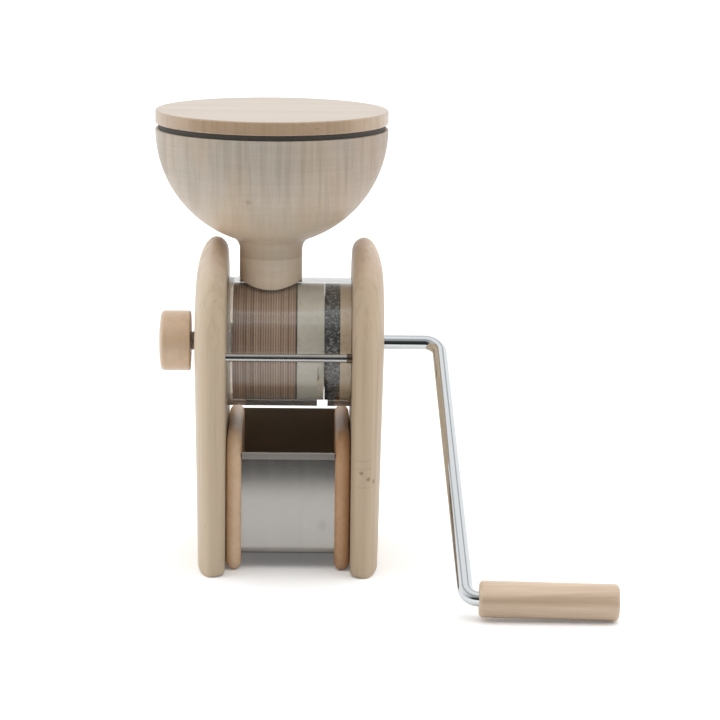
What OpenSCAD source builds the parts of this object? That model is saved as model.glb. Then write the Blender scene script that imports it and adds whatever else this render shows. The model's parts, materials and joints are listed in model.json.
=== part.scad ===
/* [Side boards] */
// Height of the crank axis above the table
axis_h = 158.5; // [150:0.5:175]
// Clear width between the two boards
board_gap = 90; // [87:0.2:95]
// Board thickness at the crank axis
board_t = 23; // [20:0.5:26]
// Board thickness at the foot
foot_t = 20; // [18:0.2:22]
// Radius of the arched top, struck from the crank axis
arch_r = 76.3; // [72:0.1:84]
// Distance from the inner face to the tip of the rounded edge
nose_tip = 8.8; // [7:0.1:11]
// Length of the round on the inner side of the edge
nose_in = 10; // [8:0.5:13]
// Length of the round on the outer side of the edge
nose_out = 35; // [20:0.5:40]
// Roundover along the bottom of the foot
foot_round = 3; // [2:0.5:6]

/* [Tie rods] */
// Diameter of a tie rod
rod_d = 6; // [5:0.5:7]
// Distance of a tie rod in front of or behind the crank axis
rod_y = 64; // [56:0.5:66]
// Length of the dark lock nut at the right end of a rod
rod_nut_len = 4; // [3:0.5:5]
// Diameter of the lock nut
rod_nut_d = 6.8; // [6.6:0.1:9]
// Diameter of the studs in the rods' ends and of the grip's screw
screw_d = 4; // [3:0.5:4]
// Length of a stud or a screw inside a rod
screw_reach = 12; // [8:1:16]
// Length of a stud inside a board
board_stud = 14; // [10:1:17]

/* [Clear tube] */
// Room between the clear tube and the millstones in it
stone_room = 1; // [0.6:0.1:2]
// Wall of the clear tube
tube_wall = 3.5; // [2.5:0.5:4]
// Depth of the groove that seats the tube in each board
tube_seat = 1.5; // [1:0.5:3]
// Width of the flour outlet slot
outlet_w = 7.5; // [6:0.5:9]
// Half angle of the outlet slot, measured from straight down
outlet_half_angle = 62; // [45:1:70]
// How far the slot's middle lies left of the gap between the stones
outlet_left = 1.3; // [0:0.1:2]

/* [Grinding works] */
// Diameter of the millstones and of the round block behind them
stone_d = 85; // [75:0.5:90]
// Room between the left board and the feed block
block_room = 4.25; // [3.5:0.05:6]
// Length of the plywood feed block
block_len = 45.5; // [42:0.5:48]
// Thickness of the dark spacer ring
spacer_t = 1; // [0.8:0.1:2]
// Length of the holder ring round the fixed stone
holder_len = 19.4; // [17:0.2:21]
// Wall of the holder ring
holder_wall = 4.5; // [3:0.5:6]
// Thickness of the fixed stone
fixed_t = 12; // [9:0.5:15]
// Gap between the two stones as set
stone_gap = 0.6; // [0.5:0.1:1]
// Thickness of the running stone
running_t = 10.8; // [9:0.2:12]
// Rise of the cone towards the middle of the fixed stone
cone_h = 2.4; // [1:0.1:3]
// Width of the flat grinding rim outside the cone
grind_rim = 6.5; // [5:0.5:12]
// Diameter of the eye in the fixed stone
eye_d = 27; // [24:0.5:30]
// Number of furrows in each grinding face
furrows = 3; // [3:1:8]
// Depth of a furrow
furrow_depth = 3.2; // [2:0.2:4]
// Width of a furrow
furrow_w = 11; // [8:0.5:14]
// Turn of the first furrow from straight down, towards the front
furrow_turn = 18; // [0:1:40]
// Diameter of the feed chamber in the block
chamber_d = 25; // [23:0.5:27]
// Diameter of the auger's flight
auger_d = 22; // [19:0.5:22]
// Turns of the auger's flight
auger_turns = 2.5; // [1.5:0.5:4]
// Thickness of the auger's flight
auger_flight = 2.4; // [1.6:0.2:3]
// Outside diameter of the auger's sleeve
auger_sleeve_d = 13.6; // [13:0.2:15]

/* [Crank] */
// Diameter of the crank rod
crank_d = 10.7; // [9:0.1:11]
// Distance from the right board's inner face to the corner of shaft and arm
crank_reach = 63.7; // [50:0.1:75]
// Length of the arm, measured square to the shaft
crank_arm = 229; // [215:1:250]
// How far the arm leans out over its length
arm_lean = 14; // [6:0.5:20]
// Bend radius at the shaft, to the rod's centre line
shaft_bend = 11; // [9:0.5:16]
// Bend radius at the grip, to the rod's centre line
grip_bend = 9; // [8:0.5:12]
// Fall of the spindle out of parallel with the shaft, in degrees
spindle_fall = 1.3; // [0:0.1:3]
// Distance from the lower corner to the grip
grip_start = 8.4; // [6:0.2:14]
// Length of the grip
grip_len = 97; // [80:0.2:110]
// Diameter of the grip
grip_d = 26; // [22:0.5:30]
// Roundover at the grip's ends
grip_round = 3; // [1:0.5:5]
// Diameter of the counterbore for the grip's screw
grip_pocket_d = 16; // [14:0.5:18]
// Depth of that counterbore
grip_pocket = 7; // [6:0.5:10]
// Diameter of the grip screw's head
screw_head_d = 9; // [8:0.5:11]
// Height of the grip screw's head
screw_head_h = 3.5; // [3:0.5:5]
// Thickness of the grip's washer
washer_t = 1.5; // [1:0.1:2]
// Outside diameter of the shaft bush
bush_d = 15; // [13:0.5:17]
// Diameter of the shaft bush's flange
bush_flange_d = 26; // [22:0.5:30]
// Thickness of that flange
bush_flange_t = 2; // [1.5:0.1:3]
// Diameter of the cross pin that drives the carrier
pin_d = 4; // [3:0.5:5]
// Length of the cross pin
pin_len = 34; // [28:1:44]

/* [Grind adjuster] */
// Diameter of the wooden knob
knob_d = 44; // [38:0.5:48]
// Thickness of the knob
knob_t = 23.4; // [20:0.2:26]
// Rise of the knob's domed face
knob_dome = 1.6; // [0.5:0.1:3]
// Roundover of the knob's edges
knob_round = 3; // [2:0.5:4]
// Gap between the knob and the left board
knob_gap = 4; // [3:0.2:8]
// Diameter of the threaded stud
stud_d = 14; // [12:1:16]
// How deep the stud sits in the knob
stud_sink = 17; // [12:0.5:18]
// Outside diameter of the threaded insert
insert_d = 20; // [18:0.5:24]
// Diameter of the pressure plate
plate_d = 26; // [22:0.5:30]
// Thickness of the pressure plate
plate_t = 2; // [1.6:0.1:2.2]

/* [Hopper and lid] */
// Place of the hopper's axis, left of the middle of the boards
hopper_left = 13.9; // [12:0.1:17]
// Height of the bowl's rim above the crank axis
rim_up = 156.2; // [150:0.2:164]
// Outside radius of the round bowl
bowl_r = 84; // [78:0.5:90]
// Wall of the bowl
bowl_wall = 7; // [5:0.5:9]
// Diameter of the neck
neck_d = 45.5; // [42:0.5:48]
// Radius of the hollow curve from bowl to neck
neck_fillet = 9; // [6:0.5:12]
// Diameter of the spigot below the neck
spigot_d = 34; // [32:0.5:36]
// Depth of the spigot below the tube's crown
spigot_len = 14; // [10:0.5:18]
// Diameter of the throat that grain falls through
throat_d = 24; // [20:0.5:26]
// Thickness of the lid
lid_t = 9.7; // [7:0.1:12]
// Roundover of the lid's edges
lid_round = 1.2; // [0.6:0.1:2]
// Depth of the plug under the lid, below the seal
lid_plug = 5; // [3:0.5:8]
// Thickness of the dark seal under the lid
seal_t = 3.8; // [3:0.1:5]
// Inset of the seal from the rim
seal_inset = 2.2; // [1:0.1:4]

/* [Drawer] */
// Distance from the crank axis to the drawer's front edge
drawer_front = 56; // [50:0.5:62]
// Distance from the crank axis to the drawer's back edge
drawer_back = 62; // [56:0.5:70]
// Height of a drawer side
side_h = 99.5; // [92:0.5:104]
// Thickness of a drawer side
side_t = 11; // [8:0.5:13]
// Radius of the drawer side's upper front corner
side_corner = 26; // [18:0.5:30]
// Sheet thickness of the steel trough
sheet_t = 1.2; // [0.8:0.1:1.6]
// Height of the trough's floor above the table
trough_floor = 10.9; // [8:0.1:18]
// Height of the trough's front lip above the table
lip_h = 86.6; // [78:0.2:88]
// Height of the trough's back rim above the table
back_h = 97.2; // [88:0.2:98]
// Setback of the front wall behind the sides' front edge
trough_inset = 6; // [5:0.5:9]
// Radius of the trough's lower bends
trough_bend = 6; // [4:0.5:10]
// Height of the folded hem on the lip
hem_h = 5; // [3:0.5:6]

/* [Fits] */
// Clearance of pieces that slide or lift apart
slide_gap = 0.4; // [0.3:0.05:0.6]
// Clearance of pieces that turn on a pin or shaft
turn_gap = 0.06; // [0.03:0.01:0.1]
// Clearance of pieces that are seated for good
seat_gap = 0.05; // [0.02:0.01:0.1]
// Screw travel that opens the stones from the set place
open_travel = 1.5; // [1:0.1:1.6]
// Screw travel that closes the stones from the set place
close_travel = 0.5; // [0.3:0.05:0.5]

/* [Hidden] */
$fn = 96;

cut = 1;
half_gap = board_gap / 2;
outer_face = half_gap + board_t;
nose_steps = 12;
slice_t = 0.01;
end_room = 1;
stud_bore = board_stud + end_room;

tube_d = stone_d + 2 * stone_room + 2 * tube_wall;
tube_r = tube_d / 2;
stone_r = stone_d / 2;
stone_seat_r = stone_r - holder_wall;
cone_r = stone_r - grind_rim;
cone_top_r = eye_d / 2 + 1.5;

block_x = block_room - half_gap;
spacer_x = block_x + block_len;
holder_x = spacer_x + spacer_t;
holder_end = holder_x + holder_len;
running_x = holder_end + stone_gap;
carrier_x = running_x + running_t;
carrier_gap = 0.5;
carrier_end = half_gap - carrier_gap;
thrust_t = 1.5;
thrust_gap = 0.2;
thrust_x = half_gap - thrust_gap - thrust_t;
pin_x = (carrier_x + thrust_x) / 2;

pilot_len = 10;
pilot_wall = 3;
pilot_sink = 2;
auger_room = 3;
auger_short = 4;
pilot_x = block_x + pilot_sink;
pilot_d = crank_d + 2 * pilot_wall;
shaft_start = pilot_x + end_room;
auger_x = pilot_x + pilot_len + auger_room;
auger_end = holder_end - auger_short;
outlet_x = holder_end + stone_gap / 2 - outlet_left;

plate_x = block_x - plate_t;
stud_tip = plate_x - turn_gap;
knob_right = -outer_face - knob_gap;
knob_left = knob_right - knob_t;
plate_screw_d = 3;
plate_screw_len = 12;
plate_screw_count = 3;
plate_screw_r = (stud_d + plate_d) / 4;

hopper_x = -hopper_left;
rim_z = axis_h + rim_up;
bowl_in_r = bowl_r - bowl_wall;
throat_r = throat_d / 2;
neck_r = neck_d / 2;
spigot_r = spigot_d / 2;
lid_r = bowl_r;
seal_r = bowl_r - seal_inset;
plug_r = bowl_in_r - 2 * slide_gap;
lid_z = rim_z + seal_t;
socket_floor = sqrt(tube_r * tube_r - spigot_r * spigot_r) - spigot_len;
fillet_x = neck_r + neck_fillet;
fillet_z = sqrt(pow(bowl_r + neck_fillet, 2) - fillet_x * fillet_x);
fillet_angle = acos(fillet_x / (bowl_r + neck_fillet));
funnel_angle = 62;

corner_x = half_gap + crank_reach;
spindle_x = corner_x + arm_lean;
lean = atan(arm_lean / crank_arm);
bend_thin = 0.02;
bend_lap = 0.2;
shaft_turn = 90 - lean;
grip_turn = 90 - lean - spindle_fall;
shaft_tangent = shaft_bend * tan(shaft_turn / 2);
grip_tangent = grip_bend * tan(grip_turn / 2);
grip_at = max(grip_start, grip_tangent + slide_gap);
arm_dir = [sin(lean), -cos(lean)];
arm_len = crank_arm / cos(lean) - shaft_tangent - grip_tangent;
arm_from = [corner_x, 0] + shaft_tangent * arm_dir;
arm_to = arm_from + arm_len * arm_dir;
lower_corner = [spindle_x, -crank_arm];
spindle_dir = [cos(spindle_fall), -sin(spindle_fall)];
spindle_len = grip_at + grip_len - grip_pocket;
grip_right = spindle_x + (grip_at + grip_len) * cos(spindle_fall);
grip_end_reach = crank_arm + (grip_at + grip_len) * tan(spindle_fall);
rest_gap = 0.3;
crank_swing = acos((axis_h - grip_d / 2 / cos(spindle_fall) - rest_gap) / grip_end_reach);

side_out = half_gap - slide_gap;
side_in = side_out - side_t;
sheet_sink = 2.5;
side_low = 6;
trough_half = side_in + sheet_sink - seat_gap;
trough_front = trough_inset - drawer_front;
trough_back = drawer_back - trough_inset;

mid_x = (min(knob_left, hopper_x - lid_r) + grip_right) / 2;
mid_y = (lid_r - grip_end_reach * sin(crank_swing) - grip_d / 2) / 2;

maple = "#d9c3a3";
beech = "#c9a27c";
plywood = "#9d7a63";
steel = "#c9ccd0";
dark_steel = "#4a4744";
brass = "#b08d57";
pale_stone = "#cfc8ba";
dark_stone = "#4d5254";

// Points along an arc from angle a0 to angle a1
function arc(c, r, a0, a1, n) =
    [for (i = [0:n]) let (a = a0 + (a1 - a0) * i / n) c + r * [cos(a), sin(a)]];
// Points along a quarter of an ellipse with half axes rx and ry
function oval(c, rx, ry, a0, a1, n) =
    [for (i = [0:n]) let (a = a0 + (a1 - a0) * i / n) c + [rx * cos(a), ry * sin(a)]];

// Moves the mill so that its origin is under the middle of its box
module place() translate([-mid_x, -mid_y, 0]) children();
module at_axis() place() translate([0, 0, axis_h]) children();
// Turns a shape drawn round the Z axis onto the crank axis
module lay_along_x(x) translate([x, 0, 0]) rotate([0, 90, 0]) children();
module round_bar(x, len, d) lay_along_x(x) cylinder(d = d, h = len);
module round_ring(x, len, d, bore) lay_along_x(x) difference() {
    cylinder(d = d, h = len);
    translate([0, 0, -cut]) cylinder(d = bore, h = len + 2 * cut);
}

// Half of a board's cross-section: x is the distance from the axis plane, y that from the inner face
function board_edge(t, reach) = concat(
    oval([reach - nose_in, nose_tip], nose_in, nose_tip, -90, 0, nose_steps),
    oval([reach - nose_out, nose_tip], nose_out, t - nose_tip, 0, 90, nose_steps));
function mirrored(points) = [for (i = [len(points) - 1:-1:0]) [-points[i].x, points[i].y]];

module board_slice(z, t, inset) {
    half = [for (p = board_edge(t - 2 * inset, arch_r - inset)) p + [0, inset]];
    translate([0, 0, z]) linear_extrude(slice_t) polygon(concat(half, mirrored(half)));
}

// The board's inner face lies in the plane y = 0 and its thickness runs to +y
module board_blank() {
    rotate([-90, 0, 0]) rotate_extrude(angle = -180)
        polygon(concat([[0, 0]], board_edge(board_t, arch_r), [[0, board_t]]));
    translate([0, 0, -axis_h]) hull() {
        board_slice(axis_h - slice_t, board_t, 0);
        board_slice(foot_round, foot_t, 0);
        for (a = [30, 60, 90])
            board_slice(foot_round * (1 - sin(a)), foot_t, foot_round * (1 - cos(a)));
    }
}

module rod_places() for (side = [-1, 1]) translate([0, side * rod_y, 0]) children();

// A board with the cuts that both boards share, standing on its side of the mill
module side_board(side) difference() {
    rotate([0, 0, side * -90]) translate([0, half_gap, 0])
        mirror([side > 0 ? 0 : 1, 0, 0]) board_blank();
    round_ring(side > 0 ? half_gap - cut : -half_gap - tube_seat, tube_seat + cut,
        tube_d + 2 * seat_gap, tube_d - 2 * tube_wall - 2 * seat_gap);
    rod_places() round_bar(side > 0 ? half_gap - cut : -half_gap - stud_bore, stud_bore + cut,
        screw_d + 2 * seat_gap);
}

module left_side_board() at_axis() color(maple) difference() {
    side_board(-1);
    round_bar(-outer_face - cut, board_t + 2 * cut, insert_d + 2 * seat_gap);
}

module right_side_board() at_axis() color(maple) difference() {
    side_board(1);
    round_bar(half_gap - cut, board_t + 2 * cut, bush_d + 2 * seat_gap);
    round_bar(half_gap - cut, bush_flange_t + cut, bush_flange_d + 2 * seat_gap);
}

// A rod between the boards, drilled at both ends for its studs
module tie_rod(side) at_axis() color(steel) translate([0, side * rod_y, 0]) difference() {
    depth = screw_reach + end_room;
    round_bar(-half_gap, board_gap, rod_d);
    for (x = [-half_gap - cut, half_gap - depth]) round_bar(x, depth + cut, screw_d + 2 * seat_gap);
}
module front_tie_rod() tie_rod(-1);
module rear_tie_rod() tie_rod(1);

module tie_rod_studs() at_axis() color(steel) rod_places() {
    length = board_stud + screw_reach;
    for (x = [-half_gap - board_stud, half_gap - screw_reach]) round_bar(x, length, screw_d);
}

module rod_lock_nuts() at_axis() color(dark_steel) rod_places()
    round_ring(half_gap - rod_nut_len, rod_nut_len, rod_nut_d, rod_d + 2 * seat_gap);

// Slot with round ends, cut straight up through the lower half of the tube
module outlet_cut() {
    half_w = outlet_w / 2;
    end_y = tube_r * sin(outlet_half_angle);
    end_round = half_w * cos(outlet_half_angle);
    translate([outlet_x, 0, -tube_d]) linear_extrude(tube_d) polygon(concat(
        oval([0, end_y], half_w, end_round, 0, 180, 12), oval([0, -end_y], half_w, end_round, 180, 360, 12)));
}

// Upright opening for the spigot, long enough for the grind adjuster's travel
module spigot_opening() linear_extrude(tube_d) polygon(concat(
    arc([hopper_x + close_travel, 0], spigot_r + slide_gap, -90, 90, 24),
    arc([hopper_x - open_travel, 0], spigot_r + slide_gap, 90, 270, 24)));

module grinding_tube() at_axis() color([0.85, 0.88, 0.9, 0.35]) difference() {
    round_ring(-half_gap - tube_seat + seat_gap, board_gap + 2 * tube_seat - 2 * seat_gap,
        tube_d, tube_d - 2 * tube_wall);
    spigot_opening();
    outlet_cut();
}

// Socket and funnel that lead the grain from the spigot down to the auger
module grain_way() translate([hopper_x, 0, 0]) {
    translate([0, 0, socket_floor - seat_gap]) cylinder(r = spigot_r + seat_gap, h = tube_d);
    cylinder(d = min(throat_d, chamber_d) - cut, h = tube_d);
}

module feed_block() at_axis() color(plywood) difference() {
    round_bar(block_x, block_len, stone_d);
    grain_way();
    round_bar(pilot_x + pilot_len, block_len, chamber_d);
    round_bar(pilot_x, pilot_len + cut, pilot_d + 2 * seat_gap);
    plate_screw_places() round_bar(block_x - cut, plate_screw_len + cut, plate_screw_d + 2 * seat_gap);
}

module spacer_ring() at_axis() color(dark_steel) round_ring(spacer_x, spacer_t, stone_d, chamber_d);

module stone_holder() at_axis() color(pale_stone) difference() {
    round_ring(holder_x, holder_len, stone_d, chamber_d);
    round_bar(holder_end - fixed_t, fixed_t + cut, 2 * stone_seat_r);
}

// Wedge-shaped furrows, deep at one side and feathered out at the other
module furrow_set() for (i = [0:furrows - 1]) rotate([i * 360 / furrows - furrow_turn, 0, 0])
    translate([0, 0, -stone_d]) linear_extrude(stone_d - eye_d / 2)
        polygon([[-cone_h - cut, -furrow_w], [0, -furrow_w], [furrow_depth, 0], [-cone_h - cut, 0]]);

// The grinding face rises to a low cone, which breaks the grain before it reaches the flat rim
module fixed_stone() at_axis() color(pale_stone) difference() {
    union() {
        round_bar(holder_end - fixed_t, fixed_t, 2 * stone_seat_r - 2 * seat_gap);
        lay_along_x(holder_end) cylinder(r1 = cone_r, r2 = cone_top_r, h = cone_h);
    }
    round_bar(holder_end - fixed_t - cut, fixed_t + cone_h + 2 * cut, eye_d);
    translate([holder_end, 0, 0]) mirror([1, 0, 0]) intersection() {
        furrow_set();
        round_bar(-cone_h - cut, cone_h + furrow_depth + 2 * cut, 2 * stone_seat_r - 2 * holder_wall);
    }
}

// The hollow in this stone follows the other one's cone
module running_stone() at_axis() color(dark_stone) difference() {
    round_ring(running_x, running_t, stone_d, crank_d + 2 * seat_gap);
    lay_along_x(running_x - cut) cylinder(r1 = cone_r + cut * (cone_r - cone_top_r) / cone_h,
        r2 = cone_top_r, h = cone_h + cut);
    translate([running_x, 0, 0]) furrow_set();
}

// The cross pin lies square to the shaft and upright while the crank hangs
module pin_hole(gap) translate([pin_x, 0, -pin_len / 2 - gap])
    cylinder(d = pin_d + 2 * gap, h = pin_len + 2 * gap);

module stone_carrier() at_axis() color(maple) difference() {
    round_ring(carrier_x, carrier_end - carrier_x, stone_d, crank_d + 2 * seat_gap);
    round_bar(thrust_x - thrust_gap, thrust_t + 2 * thrust_gap + cut, bush_flange_d + 2 * slide_gap);
    rotate([-crank_swing, 0, 0]) pin_hole(seat_gap);
}

module drive_pin() at_axis() color(steel) rotate([-crank_swing, 0, 0]) pin_hole(0);

module feed_auger() at_axis() color(steel) difference() {
    lay_along_x(auger_x) {
        cylinder(d = auger_sleeve_d, h = auger_end - auger_x);
        linear_extrude(auger_end - auger_x, twist = -360 * auger_turns, slices = 16 * auger_turns,
            $fn = 32) intersection() {
                circle(d = auger_d);
                translate([crank_d / 2, -auger_flight]) square([auger_d, 2 * auger_flight]);
            }
    }
    round_bar(auger_x - cut, auger_end - auger_x + 2 * cut, crank_d + 2 * seat_gap);
}

// Straight stretch of the crank rod from a point, in the plane of shaft and arm
module rod_run(from, angle, len) translate(from) rotate([0, 0, angle]) rotate([0, 90, 0])
    cylinder(d = crank_d, h = len);
// Bend of the rod, a hair slimmer than the straight stretches
module rod_bend(centre, start, turn, radius) translate(centre) rotate([0, 0, start])
    rotate_extrude(angle = turn) translate([radius, 0]) circle(d = crank_d - 2 * bend_thin);

// Stands a shape drawn with the arm along -y onto the swung crank
module on_crank() at_axis() rotate([-crank_swing, 0, 0]) rotate([90, 0, 0]) children();
// Moves a shape drawn along +x from the lower corner onto the spindle
module on_spindle() on_crank() translate(lower_corner) rotate([0, 0, -spindle_fall]) children();

module crank_rod() color(steel) difference() {
    on_crank() {
        rod_run([shaft_start, 0], 0, corner_x - shaft_tangent - shaft_start + bend_lap);
        rod_bend([corner_x - shaft_tangent, -shaft_bend], lean, shaft_turn, shaft_bend);
        rod_run(arm_from - bend_lap * arm_dir, lean - 90, arm_len + 2 * bend_lap);
        rod_bend(arm_to + grip_bend * [cos(lean), sin(lean)], 180 + lean, grip_turn, grip_bend);
        rod_run(lower_corner + (grip_tangent - bend_lap) * spindle_dir, -spindle_fall,
            spindle_len - grip_tangent + bend_lap);
    }
    at_axis() rotate([-crank_swing, 0, 0]) pin_hole(seat_gap);
    on_spindle() round_bar(spindle_len - screw_reach, screw_reach + cut, screw_d + 2 * seat_gap);
}

module shaft_bush() at_axis() color(brass) difference() {
    union() {
        round_bar(half_gap, board_t - bush_flange_t, bush_d);
        round_bar(half_gap, bush_flange_t, bush_flange_d);
    }
    round_bar(half_gap - cut, board_t + 2 * cut, crank_d + 2 * turn_gap);
}

module thrust_washer() at_axis() color(steel)
    round_ring(thrust_x, thrust_t, bush_flange_d, crank_d + 2 * turn_gap);

module pilot_bush() at_axis() color(brass)
    round_ring(pilot_x, pilot_len, pilot_d, crank_d + 2 * turn_gap);

module crank_grip() on_spindle() color(maple) translate([grip_at, 0, 0]) difference() {
    lay_along_x(0) rotate_extrude() polygon(concat([[0, 0]],
        arc([grip_d / 2 - grip_round, grip_round], grip_round, -90, 0, 6),
        arc([grip_d / 2 - grip_round, grip_len - grip_round], grip_round, 0, 90, 6), [[0, grip_len]]));
    round_bar(-cut, grip_len + 2 * cut, crank_d + 2 * turn_gap);
    round_bar(grip_len - grip_pocket, grip_pocket + cut, grip_pocket_d);
}

module grip_washer() on_spindle() color(steel)
    round_ring(spindle_len + turn_gap, washer_t, grip_pocket_d - 2 * slide_gap, screw_d + 2 * seat_gap);

module grip_screw() on_spindle() color(steel) {
    round_bar(spindle_len - screw_reach + cut, screw_reach - cut + turn_gap + washer_t, screw_d);
    difference() {
        round_bar(spindle_len + turn_gap + washer_t, screw_head_h, screw_head_d);
        round_bar(spindle_len + washer_t + screw_head_h / 2, screw_head_h, screw_d / 2);
    }
}

module adjusting_knob() at_axis() color(maple) difference() {
    dome_r = (pow(knob_d / 2 - knob_round, 2) + knob_dome * knob_dome) / (2 * knob_dome);
    dome_half = asin((knob_d / 2 - knob_round) / dome_r);
    lay_along_x(knob_left) rotate_extrude() polygon(concat(
        arc([0, dome_r], dome_r, -90, dome_half - 90, 8),
        arc([knob_d / 2 - knob_round, knob_dome + knob_round], knob_round, -90, 0, 8),
        arc([knob_d / 2 - knob_round / 2, knob_t - knob_round / 2], knob_round / 2, 0, 90, 4),
        [[0, knob_t]]));
    round_bar(knob_right - stud_sink, stud_sink + cut, stud_d + 2 * seat_gap);
}

module adjusting_stud() at_axis() color("#9a9ca0")
    round_bar(knob_right - stud_sink, stud_tip - knob_right + stud_sink, stud_d);

module stud_insert() at_axis() color(brass)
    round_ring(-outer_face, board_t, insert_d, stud_d + 2 * turn_gap);

module plate_screw_places() for (i = [0:plate_screw_count - 1])
    rotate([i * 360 / plate_screw_count, 0, 0]) translate([0, 0, plate_screw_r]) children();

module pressure_plate() at_axis() color(dark_steel) difference() {
    round_bar(plate_x, plate_t, plate_d);
    plate_screw_places() round_bar(plate_x - cut, plate_t + 2 * cut, plate_screw_d + 2 * seat_gap);
}

module plate_screws() at_axis() color(steel) plate_screw_places()
    round_bar(plate_x, plate_t + plate_screw_len, plate_screw_d);

// Outline of the turned hopper: bowl, hollow curve and neck, outside only
module hopper_outside() translate([0, 0, rim_up]) rotate_extrude() polygon(concat([[0, 0]],
    arc([0, 0], bowl_r, 0, -fillet_angle, 28),
    arc([fillet_x, -fillet_z], neck_fillet, 180 - fillet_angle, 180, 6),
    [[neck_r, -rim_up], [0, -rim_up]]));

// Round inside that narrows to the throat
module hopper_inside() translate([0, 0, rim_up]) {
    rotate_extrude() polygon(concat([[0, cut], [bowl_in_r, cut]],
        arc([0, 0], bowl_in_r, 0, -funnel_angle, 20),
        [[throat_r, -bowl_r], [0, -bowl_r]]));
    translate([0, 0, -rim_up]) cylinder(r = throat_r, h = rim_up);
}

module hopper() at_axis() color(maple) translate([hopper_x, 0, 0]) difference() {
    union() {
        difference() {
            hopper_outside();
            translate([-hopper_x, 0, 0]) round_bar(-tube_d, 2 * tube_d, tube_d + 2 * slide_gap);
        }
        translate([0, 0, socket_floor]) cylinder(r = spigot_r, h = tube_r - socket_floor);
    }
    hopper_inside();
}

module hopper_lid() place() color("#dcc8aa") translate([hopper_x, 0, lid_z]) rotate_extrude()
    polygon(concat([[0, -seal_t - lid_plug], [plug_r, -seal_t - lid_plug], [plug_r, 0]],
        arc([lid_r - lid_round, lid_round], lid_round, -90, 0, 4),
        arc([lid_r - lid_round, lid_t - lid_round], lid_round, 0, 90, 4), [[0, lid_t]]));

module lid_seal() place() color("#55534f") translate([hopper_x, 0, rim_z]) difference() {
    cylinder(r = seal_r, h = seal_t);
    translate([0, 0, -cut]) cylinder(r = plug_r + seat_gap, h = seal_t + 2 * cut);
}

// Side view of the bent steel sheet, y to the right and z up, grown by a margin on both faces
module trough_profile(grow) {
    f = trough_front;
    b = trough_back;
    z = trough_floor;
    outer = trough_bend + grow;
    inner = max(trough_bend - sheet_t - grow, 0.5);
    polygon(concat(
        [[f - grow, lip_h + grow]], arc([f + trough_bend, z + trough_bend], outer, 180, 270, 8),
        arc([b - trough_bend, z + trough_bend], outer, 270, 360, 8), [[b + grow, back_h + grow]],
        [[b - sheet_t - grow, back_h + grow]],
        arc([b - trough_bend, z + trough_bend], inner, 360, 270, 8),
        arc([f + trough_bend, z + trough_bend], inner, 270, 180, 8),
        [[f + sheet_t + grow, lip_h + grow]]));
}
// Extrudes a side view across the mill between two places on X
module across(x, w) translate([x, 0, 0]) rotate([90, 0, 90]) linear_extrude(w) children();

module drawer_trough() place() color(steel) {
    across(-trough_half, 2 * trough_half) trough_profile(0);
    across(-side_in + slide_gap, 2 * side_in - 2 * slide_gap)
        translate([trough_front - sheet_t, lip_h - hem_h]) square([sheet_t, hem_h]);
}

// Side view of a drawer side, drawn in from its outline by an inset
module side_profile(inset) {
    r = side_corner - inset;
    polygon(concat(
        arc([side_low - drawer_front, side_low], side_low - inset, 180, 270, 6),
        arc([drawer_back - side_low, side_low], side_low - inset, 270, 360, 6),
        arc([drawer_back - side_low, side_h - side_low], side_low - inset, 0, 90, 6),
        arc([side_corner - drawer_front, side_h - side_corner], r, 90, 180, 12)));
}

// A drawer side with rounded edges and the saw cut that holds the sheet
module drawer_side() {
    edge = side_t / 2;
    difference() {
        hull() for (a = [0:30:180])
            across(side_in + (edge - slice_t / 2) * (1 - cos(a)), slice_t)
                side_profile(edge - edge * sin(a));
        across(side_in - cut, sheet_sink + cut) trough_profile(seat_gap);
    }
}
module drawer_left_side() place() color(beech) mirror([1, 0, 0]) drawer_side();
module drawer_right_side() place() color(beech) drawer_side();

left_side_board();
right_side_board();
front_tie_rod();
rear_tie_rod();
tie_rod_studs();
rod_lock_nuts();
grinding_tube();
feed_block();
spacer_ring();
stone_holder();
fixed_stone();
running_stone();
stone_carrier();
drive_pin();
feed_auger();
crank_rod();
shaft_bush();
thrust_washer();
pilot_bush();
crank_grip();
grip_washer();
grip_screw();
adjusting_knob();
adjusting_stud();
stud_insert();
pressure_plate();
plate_screws();
hopper();
hopper_lid();
lid_seal();
drawer_trough();
drawer_left_side();
drawer_right_side();
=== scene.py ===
import json
import math
import bpy
from mathutils import Matrix, Vector


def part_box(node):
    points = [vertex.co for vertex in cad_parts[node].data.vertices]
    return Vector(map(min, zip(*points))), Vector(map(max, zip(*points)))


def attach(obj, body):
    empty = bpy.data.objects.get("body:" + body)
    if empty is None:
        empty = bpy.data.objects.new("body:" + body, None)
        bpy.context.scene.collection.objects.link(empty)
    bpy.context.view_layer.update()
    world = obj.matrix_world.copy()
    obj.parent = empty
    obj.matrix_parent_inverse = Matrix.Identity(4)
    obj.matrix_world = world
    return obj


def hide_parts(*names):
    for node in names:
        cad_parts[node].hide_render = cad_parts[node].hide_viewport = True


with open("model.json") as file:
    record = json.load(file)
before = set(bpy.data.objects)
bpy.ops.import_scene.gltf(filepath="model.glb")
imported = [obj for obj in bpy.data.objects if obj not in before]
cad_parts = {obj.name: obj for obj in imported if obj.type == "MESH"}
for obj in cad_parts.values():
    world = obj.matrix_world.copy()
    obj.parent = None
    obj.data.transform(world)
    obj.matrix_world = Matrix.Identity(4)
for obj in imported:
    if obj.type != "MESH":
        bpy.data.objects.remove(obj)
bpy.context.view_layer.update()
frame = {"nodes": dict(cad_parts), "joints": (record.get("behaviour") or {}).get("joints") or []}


# Side boards: two thick maple boards that stand on the table and carry everything else.
# Each is sawn to an arch round the crank axis, thinned a little to the foot, and rounded over
# on all edges by hand, tighter on the inner side. Blind bores take the studs of the tie rods.
mm = 0.001
axis_y, axis_z = next(j["pos_m"] for j in frame["joints"] if j["name"] == "crank_turn")[1:]
board_foot_t = 20 * mm
board_nose_tip = 8.8 * mm
board_nose_in = 10 * mm
board_nose_out = 35 * mm
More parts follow.
